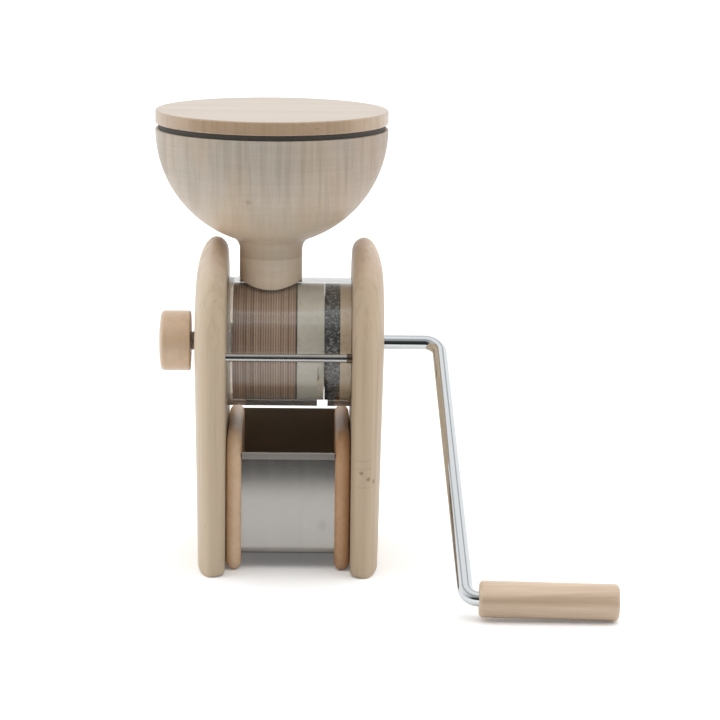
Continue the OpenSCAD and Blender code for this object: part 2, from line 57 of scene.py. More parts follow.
board_foot_round = 3 * mm
stud_bore_d = 4.1 * mm
stud_bore_depth = 15 * mm
insert_bore_d = 20.1 * mm
bush_bore_d = 15.1 * mm
crisp_angle = 40
board_tones = {"left": ((0.66, 0.54, 0.395), (0.53, 0.405, 0.275)),
               "right": ((0.575, 0.45, 0.315), (0.46, 0.34, 0.22))}
board_seeds = {"left": 3, "right": 8}
# Painted light: the arch tops are made paler and greyer towards the top, where the arch faces up to the light
arch_light_from, arch_light_to = axis_z + 46 * mm, axis_z + 66 * mm
arch_painted_light = (1.13, 1.12, 1.20)
maple_mark = (0.22, 0.125, 0.06)
# Each mark: x, y and z in mm from the board's low front corner, size in mm, stretch, strength
board_marks = {"left": [(9, 3, 38, 1.0, 1.6, 0.5)],
               "right": [(7.2, 0.3, 77.7, 2.0, 0.8, 0.85), (12.3, 1.4, 73.1, 2.6, 0.8, 0.8),
                         (16.2, 6.5, 70.6, 3.0, 0.8, 0.8), (8, 1, 86.5, 9, 0.10, 0.22),
                         (9, 1, 80.5, 11, 0.12, 0.16), (10, 1, 67, 10, 0.12, 0.14)]}


def add_node(material, kind, **settings):
    made = material.node_tree.nodes.new("ShaderNode" + kind)
    for key, value in settings.items():
        setattr(made, key, value)
    return made


def join(material, source, output, target, socket):
    material.node_tree.links.new(source.outputs[output], target.inputs[socket])


def new_material(name):
    made = bpy.data.materials.new(name)
    made.use_nodes = True
    return made, shader_of(made)


def shader_of(material):
    return material.node_tree.nodes["Principled BSDF"]


# A material keeps the name of the node that colours it, so that marks and tints can be laid over it
def colour_of(material):
    return material.node_tree.nodes[material["colour"]]


def set_colour(material, node):
    join(material, node, "Color", shader_of(material), "Base Color")
    material["colour"] = node.name


def object_coords(material, scale=(1, 1, 1), place=(0, 0, 0)):
    coords = add_node(material, "TexCoord")
    mapping = add_node(material, "Mapping")
    mapping.inputs["Scale"].default_value = scale
    mapping.inputs["Location"].default_value = place
    join(material, coords, "Object", mapping, "Vector")
    return mapping


def place_xyz(material):
    made = add_node(material, "SeparateXYZ")
    join(material, object_coords(material), "Vector", made, "Vector")
    return made


# Runs from 0 at the start to 1 at the end
def level_between(material, source, output, start, end, **settings):
    made = add_node(material, "MapRange", **settings)
    made.inputs["From Min"].default_value, made.inputs["From Max"].default_value = start, end
    join(material, source, output, made, "Value")
    return made


def noise(material, vector, scale, detail=4.0, roughness=0.55, distortion=0.0):
    made = add_node(material, "TexNoise")
    made.inputs["Scale"].default_value = scale
    made.inputs["Detail"].default_value = detail
    made.inputs["Roughness"].default_value = roughness
    made.inputs["Distortion"].default_value = distortion
    join(material, vector, "Vector", made, "Vector")
    return made


# Stops are places with a colour or a grey value
def ramp(material, source, output, stops):
    made = add_node(material, "ValToRGB")
    bar = made.color_ramp
    while len(bar.elements) < len(stops):
        bar.elements.new(0.5)
    for element, (place, colour) in zip(bar.elements, stops):
        element.position = place
        element.color = (*colour, 1) if isinstance(colour, tuple) else (colour, colour, colour, 1)
    join(material, source, output, made, "Fac")
    return made


# The amount is a number or a node with its output, and the second colour a value or a node
def mixed(material, kind, amount, first, second):
    made = add_node(material, "MixRGB", blend_type=kind)
    if isinstance(amount, tuple):
        join(material, amount[0], amount[1], made, "Fac")
    else:
        made.inputs["Fac"].default_value = amount
    join(material, first, "Color", made, "Color1")
    if isinstance(second, tuple):
        made.inputs["Color2"].default_value = (*second, 1)
    else:
        join(material, second, "Color", made, "Color2")
    return made


def bump(material, source, output, strength, distance, under=None):
    made = add_node(material, "Bump")
    made.inputs["Strength"].default_value = strength
    made.inputs["Distance"].default_value = distance
    join(material, source, output, made, "Height")
    if under:
        join(material, under, "Normal", made, "Normal")
    join(material, made, "Normal", shader_of(material), "Normal")
    return made


def grain_scale(along, across, lengthwise):
    return tuple(lengthwise if i == along else across for i in range(3))


# Sanded and oiled wood. The grain runs along one axis of the piece (0, 1 or 2), and a turned
# piece gets the fine grooves of the gouge square to its own axis.
def wood(name, pale, deep, along, seed, turned_along=None, figure=0.35, rough=(0.36, 0.5), lined=0.6,
         pored=0.3, sheen=0.45, fine=1.0, sway=0.4, hairy=0.6):
    made, shader = new_material(name)
    place = (seed * 0.37, seed * 0.61, seed * 0.23)
    broad = noise(made, object_coords(made, grain_scale(along, 1, 0.06), place), 45 * fine, 3, 0.5, sway)
    streak = noise(made, object_coords(made, grain_scale(along, 1, 0.02), place), 260, 4, 0.6, sway / 2)
    fibre = noise(made, object_coords(made, grain_scale(along, 1, 0.04), place), 1600, 3, 0.6)
    fleck = noise(made, object_coords(made, grain_scale(along, 1, 0.16), place), 700, 1, 0.5)
    between = tuple((p + d) / 2 for p, d in zip(pale, deep))
    base = ramp(made, broad, "Fac", [(0.3, deep), (0.46, between), (0.62, pale)])
    lines = ramp(made, streak, "Fac", [(0.34, (0.80, 0.76, 0.70)), (0.48, (0.97, 0.96, 0.95)), (0.7, 1.0)])
    hairs = ramp(made, fibre, "Fac", [(0.3, 0.92), (0.6, 1.0)])
    pores = ramp(made, fleck, "Fac", [(0.22, 0.84), (0.30, 1.0)])
    plain = add_node(made, "MixRGB", blend_type="MIX")
    plain.inputs["Fac"].default_value = figure
    plain.inputs["Color1"].default_value = (*pale, 1)
    join(made, base, "Color", plain, "Color2")
    with_lines = mixed(made, "MULTIPLY", lined, plain, lines)
    with_hairs = mixed(made, "MULTIPLY", hairy, with_lines, hairs)
    set_colour(made, mixed(made, "MULTIPLY", pored, with_hairs, pores))
    join(made, ramp(made, streak, "Fac", [(0.3, rough[1]), (0.7, rough[0])]), "Color", shader, "Roughness")
    shader.inputs["Specular IOR Level"].default_value = sheen
    raised = bump(made, fibre, "Fac", 0.2 * hairy, 0.00008)
    raised = bump(made, pores, "Color", 0.2 * pored, 0.0001, raised)
    if turned_along is not None:
        rings = noise(made, object_coords(made, grain_scale(turned_along, 0.02, 1), place), 760, 3, 0.6)
        bump(made, rings, "Fac", 0.16, 0.00014, raised)
    return made


# Small marks, as where a bud or a thin branch grew: oval spots at places in mm from an origin
def add_marks(material, origin, marks, tone):
    for *place, size, stretch, strength in marks:
        x, y, z = (start + way * mm for start, way in zip(origin, place))
        size *= mm
        spot = object_coords(material, (1 / size, 1 / size, 1 / (size * stretch)),
                             (-x / size, -y / size, -z / (size * stretch)))
        wobble = noise(material, spot, 1.6, 3)
        shift = add_node(material, "VectorMath", operation="ADD")
        join(material, spot, "Vector", shift, 0)
        pull = add_node(material, "VectorMath", operation="SCALE")
        join(material, wobble, "Color", pull, 0)
        pull.inputs["Scale"].default_value = 0.5
        join(material, pull, "Vector", shift, 1)
        centre = add_node(material, "VectorMath", operation="DISTANCE")
        join(material, shift, "Vector", centre, 0)
        centre.inputs[1].default_value = (0.25, 0.25, 0.25)
        shade = ramp(material, centre, "Value", [(0.0, 0.95 * strength), (0.4, 0.7 * strength), (1.0, 0.0)])
        set_colour(material, mixed(material, "MIX", (shade, "Color"), colour_of(material), tone))


# A soft change of tone with height, used to paint light or shade on a piece: a lit top or a shaded band
def paint_light_by_height(material, start, end, tint):
    level = level_between(material, place_xyz(material), "Z", start, end, interpolation_type="SMOOTHSTEP")
    set_colour(material, mixed(material, "MULTIPLY", (level, "Result"), colour_of(material), tint))


# Points of an arc between two angles, on a circle or an ellipse
def quarter(cx, cy, rx, ry, start, end, steps):
    angles = [math.radians(start + (end - start) * i / steps) for i in range(steps + 1)]
    return [(cx + rx * math.cos(a), cy + ry * math.sin(a)) for a in angles]


# A mesh piece at its place in the mill: smooth faces, with edges sharper than the angle kept crisp
def piece(name, points, faces, body, nodes, slot, material, sharp=crisp_angle):
    mesh = bpy.data.meshes.new(name)
    mesh.from_pydata(points, [], faces)
    mesh.validate()
    mesh.shade_smooth()
    mesh.set_sharp_from_angle(angle=math.radians(sharp))
    made = bpy.data.objects.new(name, mesh)
    bpy.context.scene.collection.objects.link(made)
    made.data.materials.append(material)
    made.modifiers.new("even_shading", "WEIGHTED_NORMAL").keep_sharp = True
    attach(made, body)
    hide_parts(*nodes)
    return made


# The rounded edge of a board: distances from the arch's middle and from the inner face
def board_edge(t, reach):
    inner = quarter(reach - board_nose_in, board_nose_tip, board_nose_in, board_nose_tip, -90, 0, 14)
    outer = quarter(reach - board_nose_out, board_nose_tip, board_nose_out, t - board_nose_tip, 0, 90, 18)
    return inner + outer[1:]


# Rings from the foot up to the crank axis, then the edge swept round the arch
def board_mesh(inner_x, way, t, arch_r):
    points, faces = [], []
    count = len(board_edge(t, arch_r))
    levels = [(board_foot_round * (1 - math.sin(math.radians(a))), board_foot_t,
               board_foot_round * (1 - math.cos(math.radians(a)))) for a in (90, 75, 60, 45, 30, 15)]
    rows = 8
    for i in range(rows + 1):
        z = board_foot_round + (axis_z - board_foot_round) * i / rows
        levels.append((z, board_foot_t + (t - board_foot_t) * i / rows, 0))
    for z, thick, inset in levels:
        edge = [(r, d + inset) for r, d in board_edge(thick - 2 * inset, arch_r - inset)]
        points += [(inner_x + way * d, axis_y - r, z) for r, d in edge]
        points += [(inner_x + way * d, axis_y + r, z) for r, d in reversed(edge)]
    ring = 2 * count
    for k in range(len(levels) - 1):
        for i in range(ring):
            a, b = k * ring + i, k * ring + (i + 1) % ring
            faces.append((a, b, b + ring, a + ring))
    faces.append(tuple(reversed(range(ring))))
    top = (len(levels) - 1) * ring
    previous = [top + i for i in range(count)]
    last = [top + ring - 1 - i for i in range(count)]
    inner_rim, outer_rim = [previous[0]], [previous[-1]]
    steps = 72
    edge = board_edge(t, arch_r)
    for j in range(1, steps + 1):
        a = math.pi * j / steps
        if j < steps:
            start = len(points)
            points += [(inner_x + way * d, axis_y - r * math.cos(a), axis_z + r * math.sin(a)) for r, d in edge]
            current = [start + i for i in range(count)]
        else:
            current = last
        for i in range(count - 1):
            faces.append((previous[i], previous[i + 1], current[i + 1], current[i]))
        inner_rim.append(current[0])
        outer_rim.append(current[-1])
        previous = current
    faces.append(tuple(reversed(inner_rim)))
    faces.append(tuple(outer_rim))
    if way < 0:
        faces = [tuple(reversed(f)) for f in faces]
    return points, faces


# Round bores along X, cut out of a finished piece
def bore_along_x(made, bores):
    points, faces = [], []
    sides = 48
    turns = [2 * math.pi * i / sides for i in range(sides)]
    for x0, x1, y, z, d in bores:
        start = len(points)
        for x in (x0, x1):
            points += [(x, y + d / 2 * math.cos(a), z + d / 2 * math.sin(a)) for a in turns]
        faces += [(start + i, start + (i + 1) % sides, start + sides + (i + 1) % sides, start + sides + i)
                  for i in range(sides)]
        faces.append(tuple(start + i for i in reversed(range(sides))))
        faces.append(tuple(start + sides + i for i in range(sides)))
    mesh = bpy.data.meshes.new("bores")
    mesh.from_pydata(points, [], faces)
    cutter = bpy.data.objects.new("bores", mesh)
    bpy.context.scene.collection.objects.link(cutter)
    shading = made.modifiers[0]
    shading.show_viewport = False
    cut = made.modifiers.new("bores", "BOOLEAN")
    cut.operation, cut.solver, cut.object = "DIFFERENCE", "EXACT", cutter
    bpy.context.view_layer.update()
    result = bpy.data.meshes.new_from_object(made.evaluated_get(bpy.context.evaluated_depsgraph_get()))
    made.modifiers.remove(cut)
    made.data = result
    result.shade_smooth()
    result.set_sharp_from_angle(angle=math.radians(crisp_angle))
    shading.show_viewport = True
    bpy.data.objects.remove(cutter)


rod_y = (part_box("rear_tie_rod")[0].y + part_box("rear_tie_rod")[1].y) / 2 - axis_y
for side, way, bore_d in (("left", -1, insert_bore_d), ("right", 1, bush_bore_d)):
    low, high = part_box(side + "_side_board")
    inner_x, outer_x = (high.x, low.x) if way < 0 else (low.x, high.x)
    board_wood = wood(side + "_board_maple", *board_tones[side], 2, board_seeds[side], figure=0.5)
    # Painted light on the arch tops
    paint_light_by_height(board_wood, arch_light_from, arch_light_to, arch_painted_light)
    add_marks(board_wood, (low.x, low.y, 0), board_marks[side], maple_mark)
    board = piece(side + "_board", *board_mesh(inner_x, way, high.x - low.x, high.z - axis_z), "frame",
                  [side + "_side_board"], "maple", board_wood)
    through = sorted((inner_x - way * mm, outer_x + way * mm))
    blind = sorted((inner_x - way * mm, inner_x + way * stud_bore_depth))
    bore_along_x(board, [(*through, axis_y, axis_z, bore_d)]
                 + [(*blind, axis_y + s * rod_y, axis_z, stud_bore_d) for s in (-1, 1)])


# Tie rods: two turned steel rods that hold the boards apart, drilled and tapped at both ends.
# A headless stud in each end is glued into the board. The lock nuts at the right are painted dark brown: a painted
# reflection of the board beside them.
steel_grey = (0.60, 0.60, 0.59)
nut_painted_reflection_brown = (0.20, 0.15, 0.115)


# Turned, brushed or polished metal, with its fine lines along one axis of the piece
def metal(name, colour, rough, along, lines=900, scratch=0.06, stain=0.6, streak=0.14, pure=1.0):
    made, shader = new_material(name)
    brushed = noise(made, object_coords(made, grain_scale(along, 1, 0.03)), lines, 4, 0.65)
    cloud = noise(made, object_coords(made), 120, 4, 0.6)
    tone = ramp(made, brushed, "Fac", [(0.3, tuple((1 - streak) * c for c in colour)), (0.7, colour)])
    worn = ramp(made, cloud, "Fac", [(0.35, 0.9), (0.65, 1.0)])
    set_colour(made, mixed(made, "MULTIPLY", stain, tone, worn))
    spread = 1.5 * streak
    gloss = ramp(made, brushed, "Fac", [(0.3, rough * (1 - spread)), (0.7, min(1.0, rough * (1 + spread)))])
    join(made, gloss, "Color", shader, "Roughness")
    shader.inputs["Metallic"].default_value = pure
    bump(made, brushed, "Fac", scratch, 0.00005)
    return made


# Gives pieces that keep their CAD shape a material
def dress(nodes, material):
    for name in nodes:
        slots = frame["nodes"][name].data.materials
        slots.clear()
        slots.append(material)


turned_steel = metal("turned_steel", steel_grey, 0.22, 1)
dress(["front_tie_rod", "rear_tie_rod", "tie_rod_studs"], turned_steel)
# Painted reflection: the lock nuts are coloured dark brown, as the board reflected in them
dress(["rod_lock_nuts"], metal("browned_steel", nut_painted_reflection_brown, 0.4, 1))


# Drum: a clear acrylic tube, sawn to length and let into grooves in both boards. An upright
# opening takes the hopper's spigot, and the flour falls out of a slot cut along its bottom.
# Along its bottom and at its left end it is paler and less clear.
acrylic_ior = 1.49
acrylic_tint = (0.935, 0.94, 0.935)
low_band_tint = (0.83, 0.77, 0.69)
rim_painted_shade = (0.74, 0.74, 0.74)
band_clear, clean_clear = 0.72, 0.985
tube_low, tube_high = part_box("grinding_tube")
low_band_top = tube_low.z + 10 * mm
left_band_end = (tube_low.x + 4 * mm, tube_low.x + 6.5 * mm)
rim_shade_band = (tube_high.z - 4 * mm, tube_high.z - 1 * mm)
clear_acrylic, acrylic_shader = new_material("clear_acrylic")
acrylic_shader.inputs["IOR"].default_value = acrylic_ior
flour_dust = noise(clear_acrylic, object_coords(clear_acrylic), 240, 5, 0.6)
dust_gloss = ramp(clear_acrylic, flour_dust, "Fac", [(0.4, 0.0), (0.8, 0.025)])
join(clear_acrylic, dust_gloss, "Color", acrylic_shader, "Roughness")
bump(clear_acrylic, flour_dust, "Fac", 0.02, 0.00002)
band_place = place_xyz(clear_acrylic)
clean = add_node(clear_acrylic, "Math", operation="MINIMUM")
join(clear_acrylic, level_between(clear_acrylic, band_place, "Z", tube_low.z, low_band_top), "Result", clean, 0)
join(clear_acrylic, level_between(clear_acrylic, band_place, "X", *left_band_end), "Result", clean, 1)
# Along the bottom and at the left end the drum is made paler and less clear
clearness = ramp(clear_acrylic, clean, "Value", [(0.0, band_clear), (1.0, clean_clear)])
join(clear_acrylic, clearness, "Color", acrylic_shader, "Transmission Weight")
set_colour(clear_acrylic, ramp(clear_acrylic, clean, "Value", [(0.0, low_band_tint), (1.0, acrylic_tint)]))
# Painted shade: the top band of the drum is made darker grey
paint_light_by_height(clear_acrylic, *rim_shade_band, rim_painted_shade)
dress(["grinding_tube"], clear_acrylic)
# Light passes through the clear wall, so the drum throws no shadow on the works inside it
frame["nodes"]["grinding_tube"].visible_shadow = False


# Feed block and fixed stone: a block turned from birch plywood, so that its layers show as
# stripes round it, with a thin dark ring and a pale turned holder, in which the fixed stone is
# set. A blackened plate takes the push of the stud, and brass bushes carry the shaft.
layer_t = 1.8 * mm
layer_tones = [(0.212, 0.112, 0.066), (0.355, 0.214, 0.132)]
layer_line = (0.66, 0.50, 0.365)
holder_tones = ((0.67, 0.625, 0.52), (0.58, 0.53, 0.44))
pale_stone_tones = ((0.40, 0.37, 0.31), (0.64, 0.60, 0.52))
blackened_grey = (0.075, 0.062, 0.050)
brass_yellow = (0.60, 0.42, 0.17)


# Thin layers across X, each of its own tone, with paler lines of glue between them
def layered_wood(name):
    made, shader = new_material(name)
    across = object_coords(made, (1 / layer_t, 0.02 / layer_t, 0.02 / layer_t))
    bend = noise(made, across, 0.7, 2)
    split = add_node(made, "SeparateXYZ")
    join(made, across, "Vector", split, "Vector")
    wave = add_node(made, "Math", operation="MULTIPLY_ADD")
    join(made, bend, "Fac", wave, 0)
    wave.inputs[1].default_value = 0.25
    join(made, split, "X", wave, 2)
    layer = add_node(made, "Math", operation="FLOOR")
    join(made, wave, "Value", layer, 0)
    tone = add_node(made, "TexWhiteNoise", noise_dimensions="1D")
    join(made, layer, "Value", tone, "W")
    colour = ramp(made, tone, "Value", [(0.0, layer_tones[0]), (1.0, layer_tones[1])])
    within = add_node(made, "Math", operation="FRACT")
    join(made, wave, "Value", within, 0)
    glue = ramp(made, within, "Value", [(0.0, 1.0), (0.16, 0.6), (0.36, 0.0), (0.76, 0.05), (1.0, 1.0)])
    thin = ramp(made, tone, "Value", [(0.1, 0.35), (0.6, 0.65), (0.9, 1.0)])
    glue = mixed(made, "MULTIPLY", 1.0, glue, thin)
    glued = mixed(made, "MIX", (glue, "Color"), colour, layer_line)
    fibre = noise(made, object_coords(made, (1, 0.06, 0.06)), 1400, 4, 0.65)
    speck = ramp(made, fibre, "Fac", [(0.3, 0.88), (0.6, 1.04)])
    set_colour(made, mixed(made, "MULTIPLY", 0.6, glued, speck))
    join(made, ramp(made, fibre, "Fac", [(0.3, 0.8), (0.7, 0.6)]), "Color", shader, "Roughness")
    bump(made, glue, "Color", 0.2, 0.0002)
    return made


# Bonded stone: grains of many tones, of which the palest make up the given spread
def speckled(name, dark, pale, grains, spread, rough, middle=0.33):
    made, shader = new_material(name)
    coords = object_coords(made)
    cells = add_node(made, "TexVoronoi", feature="F1")
    cells.inputs["Scale"].default_value = grains
    join(made, coords, "Vector", cells, "Vector")
    cloud = noise(made, coords, grains * 0.6, 5, 0.7)
    tone = add_node(made, "SeparateColor")
    join(made, cells, "Color", tone, "Color")
    dull = tuple(d + middle * (p - d) for d, p in zip(dark, pale))
    colour = ramp(made, tone, "Red", [(0.0, dark), (1 - spread, dull), (1.0, pale)])
    shade = ramp(made, cloud, "Fac", [(0.3, 0.7), (0.7, 1.05)])
    set_colour(made, mixed(made, "MULTIPLY", 0.8, colour, shade))
    join(made, ramp(made, cloud, "Fac", [(0.3, rough), (0.7, rough - 0.15)]), "Color", shader, "Roughness")
    bump(made, cloud, "Fac", 0.5, 0.0004)
    return made


dress(["feed_block"], layered_wood("birch_plywood"))
dress(["stone_holder"], wood("holder_wood", *holder_tones, 1, 5, turned_along=0, figure=0.6))
dress(["fixed_stone"], speckled("pale_stone", *pale_stone_tones, 900, 0.4, 0.9))
dress(["spacer_ring", "pressure_plate"], metal("blackened_steel", blackened_grey, 0.45, 1))
dress(["plate_screws", "thrust_washer"], turned_steel)
dress(["pilot_bush", "stud_insert", "shaft_bush"], metal("turned_brass", brass_yellow, 0.3, 1))


# Running stone: a dark bonded stone with cut furrows, driven by a maple disc that a steel
# cross pin fixes on the shaft. A steel auger on the same shaft moves the grain to the stones.
dark_stone_tones = ((0.010, 0.0105, 0.0105), (0.30, 0.30, 0.29))
carrier_tones = ((0.74, 0.585, 0.40), (0.62, 0.475, 0.31))
dress(["running_stone"], speckled("dark_stone", *dark_stone_tones, 800, 0.4, 0.85, middle=0.1))
dress(["stone_carrier"], wood("carrier_maple", *carrier_tones, 1, 12, turned_along=0))
dress(["drive_pin", "feed_auger"], turned_steel)


# Crank: one polished and plated steel rod, bent at the shaft and at the grip. The grip is a
# maple cylinder with rounded ends that turns on the spindle, kept by a washer and a cap screw.
grip_from = 8.58 * mm
grip_len = 95.3 * mm
grip_r = 12.6 * mm
grip_end_round = 3 * mm
grip_bore_r = 5.41 * mm
grip_pocket_r = 8 * mm
grip_pocket_depth = 5.3 * mm
chrome_grey = (0.75, 0.78, 0.80)
grip_tones = ((0.69, 0.53, 0.385), (0.50, 0.35, 0.235))
dress(["crank_rod"], metal("polished_chrome", chrome_grey, 0.05, 2, lines=240, scratch=0.003, stain=0.1, streak=0.03))
dress(["grip_washer", "grip_screw"], turned_steel)


# Points of a closed outline (radius, distance along the axis), spun round an axis
def lathe(outline, origin, direction, sides):
    turn = Vector((0, 0, 1)).rotation_difference(Vector(direction)).to_matrix()
    turns = [2 * math.pi * i / sides for i in range(sides)]
    points, faces, rings = [], [], []
    for r, along in outline:
        if r < 1e-7:
            rings.append([len(points)] * sides)
            points.append(Vector(origin) + turn @ Vector((0, 0, along)))
        else:
            rings.append([len(points) + i for i in range(sides)])
            points += [Vector(origin) + turn @ Vector((r * math.cos(a), r * math.sin(a), along)) for a in turns]
    for low_ring, high_ring in zip(rings, rings[1:] + rings[:1]):
        for i in range(sides):
            j = (i + 1) % sides
            corners = []
            for corner in (low_ring[i], low_ring[j], high_ring[j], high_ring[i]):
                if corner not in corners:
                    corners.append(corner)
            if len(corners) > 2:
                faces.append(tuple(corners))
    return points, faces


# A thin coat of oil that has been rubbed to a sheen
def coat(material, weight, rough):
    shader_of(material).inputs["Coat Weight"].default_value = weight
    shader_of(material).inputs["Coat Roughness"].default_value = rough


spin = next(j for j in frame["joints"] if j["name"] == "grip_spin")
grip_to = grip_from + grip_len
grip_flat_r = grip_r - grip_end_round
grip_outline = ([(grip_bore_r, grip_from)]
                + quarter(grip_flat_r, grip_from + grip_end_round, grip_end_round, grip_end_round, -90, 0, 8)
                + quarter(grip_flat_r, grip_to - grip_end_round, grip_end_round, grip_end_round, 0, 90, 8)
                + [(grip_pocket_r, grip_to), (grip_pocket_r, grip_to - grip_pocket_depth),
                   (grip_bore_r, grip_to - grip_pocket_depth)])
grip_wood = wood("grip_maple", *grip_tones, 0, 21, turned_along=0, figure=0.75, rough=(0.3, 0.42), pored=0.1,
                 sheen=0.9, fine=2.4, sway=1.4)
coat(grip_wood, 0.15, 0.4)
piece("turned_grip", *lathe(grip_outline, spin["pos_m"], spin["axis"], 96), "grip", ["crank_grip"], "maple", grip_wood)


# Grind adjuster: a turned maple knob with a slightly domed face, glued on a thick zinc-plated
# stud. The stud's thread of 2 mm a turn runs in a brass insert in the left board.
thread_pitch = 2 * mm
thread_depth = 0.6 * mm
thread_lead_in = 1.5 * mm
thread_flat, thread_flank = 0.12, 0.76
knob_round = 3 * mm
knob_dome = 1.6 * mm
zinc_grey = (0.90, 0.91, 1.0)
knob_tones = ((0.71, 0.52, 0.355), (0.60, 0.415, 0.265))
knob_low, knob_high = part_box("adjusting_knob")
stud_low, stud_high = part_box("adjusting_stud")
knob_r, knob_t = (knob_high.z - knob_low.z) / 2, knob_high.x - knob_low.x
stud_r = (stud_high.z - stud_low.z) / 2
stud_seat = knob_t - (knob_high.x - stud_low.x)
knob_flat_r = knob_r - knob_round
dome_r = (knob_flat_r ** 2 + knob_dome ** 2) / (2 * knob_dome)
dome_half = math.degrees(math.asin(knob_flat_r / dome_r))
back_round = knob_round / 2
knob_outline = ([(0, 0)] + quarter(0, dome_r, dome_r, dome_r, -90, dome_half - 90, 16)[1:]
                + quarter(knob_flat_r, knob_dome + knob_round, knob_round, knob_round, dome_half - 90, 0, 10)
                + quarter(knob_r - back_round, knob_t - back_round, back_round, back_round, 0, 90, 6)
                + [(stud_r, knob_t), (stud_r, stud_seat), (0, stud_seat)])
knob_wood = wood("knob_maple", *knob_tones, 2, 33, turned_along=0, figure=0.4, rough=(0.3, 0.42), lined=0.35,
                 pored=0.1, sheen=0.9)
coat(knob_wood, 0.9, 0.45)
piece("turned_knob", *lathe(knob_outline, (knob_low.x, axis_y, axis_z), (1, 0, 0), 112), "knob", ["adjusting_knob"],
      "maple", knob_wood)


# A bar along X with a right-hand thread cut into it and a tapered end
def threaded_bar(x0, x1, r, pitch, depth):
    points, faces = [], []
    sides, per_turn = 48, 10
    rings = int((x1 - x0) / pitch * per_turn)
    for k in range(rings + 1):
        x = x0 + (x1 - x0) * k / rings
        for i in range(sides):
            phase = ((x - x0) / pitch - i / sides) % 1.0
            height = min(1.0, max(0.0, (abs(phase - 0.5) * 2 - thread_flat) / thread_flank))
            tip = min(1.0, (x1 - x) / thread_lead_in)
            reach = r - depth * height - (1 - tip) * depth * 0.8
            a = 2 * math.pi * i / sides
            points.append((x, axis_y + reach * math.cos(a), axis_z + reach * math.sin(a)))
    for k in range(rings):
        for i in range(sides):
            j = (i + 1) % sides
            faces.append((k * sides + i, k * sides + j, (k + 1) * sides + j, (k + 1) * sides + i))
    faces.append(tuple(reversed(range(sides))))
    faces.append(tuple(rings * sides + i for i in range(sides)))
    return points, faces


piece("threaded_stud", *threaded_bar(stud_low.x, stud_high.x, stud_r, thread_pitch, thread_depth), "knob",
      ["adjusting_stud"], "zinc_steel", metal("zinc_plated", zinc_grey, 0.35, 1), sharp=75)


# Hopper: bowl and neck turned from one maple blank, hollowed to a round bowl that narrows to
# the throat. The neck is cut to a saddle that sits on the drum, with a spigot through its wall.
bowl_wall = 7 * mm
neck_r = 22.75 * mm
neck_fillet = 9 * mm
neck_end = 6 * mm
spigot_r = 17 * mm
throat_r = 12 * mm
throat_rise = 3 * mm
rim_round = 0.8 * mm
saddle_gap = 0.4 * mm
funnel_angle = 62
hopper_sides = 160
hopper_tones = [(0.0, (0.635, 0.518, 0.388)), (0.45, (0.562, 0.480, 0.385)),
                (0.75, (0.505, 0.446, 0.375)), (1.0, (0.50, 0.445, 0.38))]
stripe_tones = [(0.36, (0.84, 0.815, 0.785)), (0.5, (0.96, 0.952, 0.94)), (0.62, (1.03, 1.03, 1.03))]
curl_tones = [(0.36, (0.95, 0.94, 0.925)), (0.6, 1.0)]
blush_tones = [(0.42, 1.0), (0.62, (1.03, 0.965, 0.90))]
right_painted_shade = (0.90, 0.84, 0.81)
neck_painted_light = (1.20, 1.24, 1.31)
hopper_low, hopper_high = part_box("hopper")
hopper_x = (hopper_low.x + hopper_high.x) / 2
right_shade_from, right_shade_to = hopper_x + 25 * mm, hopper_x + 72 * mm
neck_light_from, neck_light_to = axis_z + 63.4 * mm, axis_z + 62.6 * mm
# Each mark: x, y and z in mm from the middle of the rim, size in mm, stretch, strength
hopper_marks = [(-15.2, -69.5, -44.6, 3.2, 0.9, 0.42), (31, -60, -50, 2.6, 2.4, 0.12)]
bowl_r = (hopper_high.x - hopper_low.x) / 2
rim_z = hopper_high.z
bowl_in_r = bowl_r - bowl_wall
saddle_r = (tube_high.z - tube_low.z) / 2 + saddle_gap
saddle_z = axis_z + saddle_r
fillet_x = neck_r + neck_fillet
fillet_z = math.sqrt((bowl_r + neck_fillet) ** 2 - fillet_x ** 2)
fillet_angle = math.degrees(math.acos(fillet_x / (bowl_r + neck_fillet)))
bowl_arc = quarter(0, 0, bowl_r, bowl_r, -1, -fillet_angle, 64)
fillet_arc = quarter(fillet_x, -fillet_z, neck_fillet, neck_fillet, 180 - fillet_angle, 180, 14)
inner_arc = quarter(0, 0, bowl_in_r, bowl_in_r, -funnel_angle, 0, 32)
hopper_outline = (quarter(bowl_in_r + rim_round, rim_z - rim_round, rim_round, rim_round, 180, 90, 4)
                  + quarter(bowl_r - rim_round, rim_z - rim_round, rim_round, rim_round, 90, 0, 4)
                  + [(x, rim_z + z) for x, z in bowl_arc + fillet_arc[1:]] + [(neck_r, saddle_z + neck_end)])
saddle_start = len(hopper_outline)
hopper_outline += [(neck_r, saddle_z), (spigot_r, saddle_z), (spigot_r, hopper_low.z), (throat_r, hopper_low.z),
                   (throat_r, rim_z - bowl_r + throat_rise)]
hopper_outline += [(x, rim_z + z) for x, z in inner_arc[:-1]]
hopper_points, hopper_faces = lathe(hopper_outline, (hopper_x, axis_y, 0), (0, 0, 1), hopper_sides)
for ring in (saddle_start, saddle_start + 1):
    for i in range(hopper_sides):
        point = hopper_points[ring * hopper_sides + i]
        point.z = axis_z + math.sqrt(saddle_r ** 2 - (point.y - axis_y) ** 2)
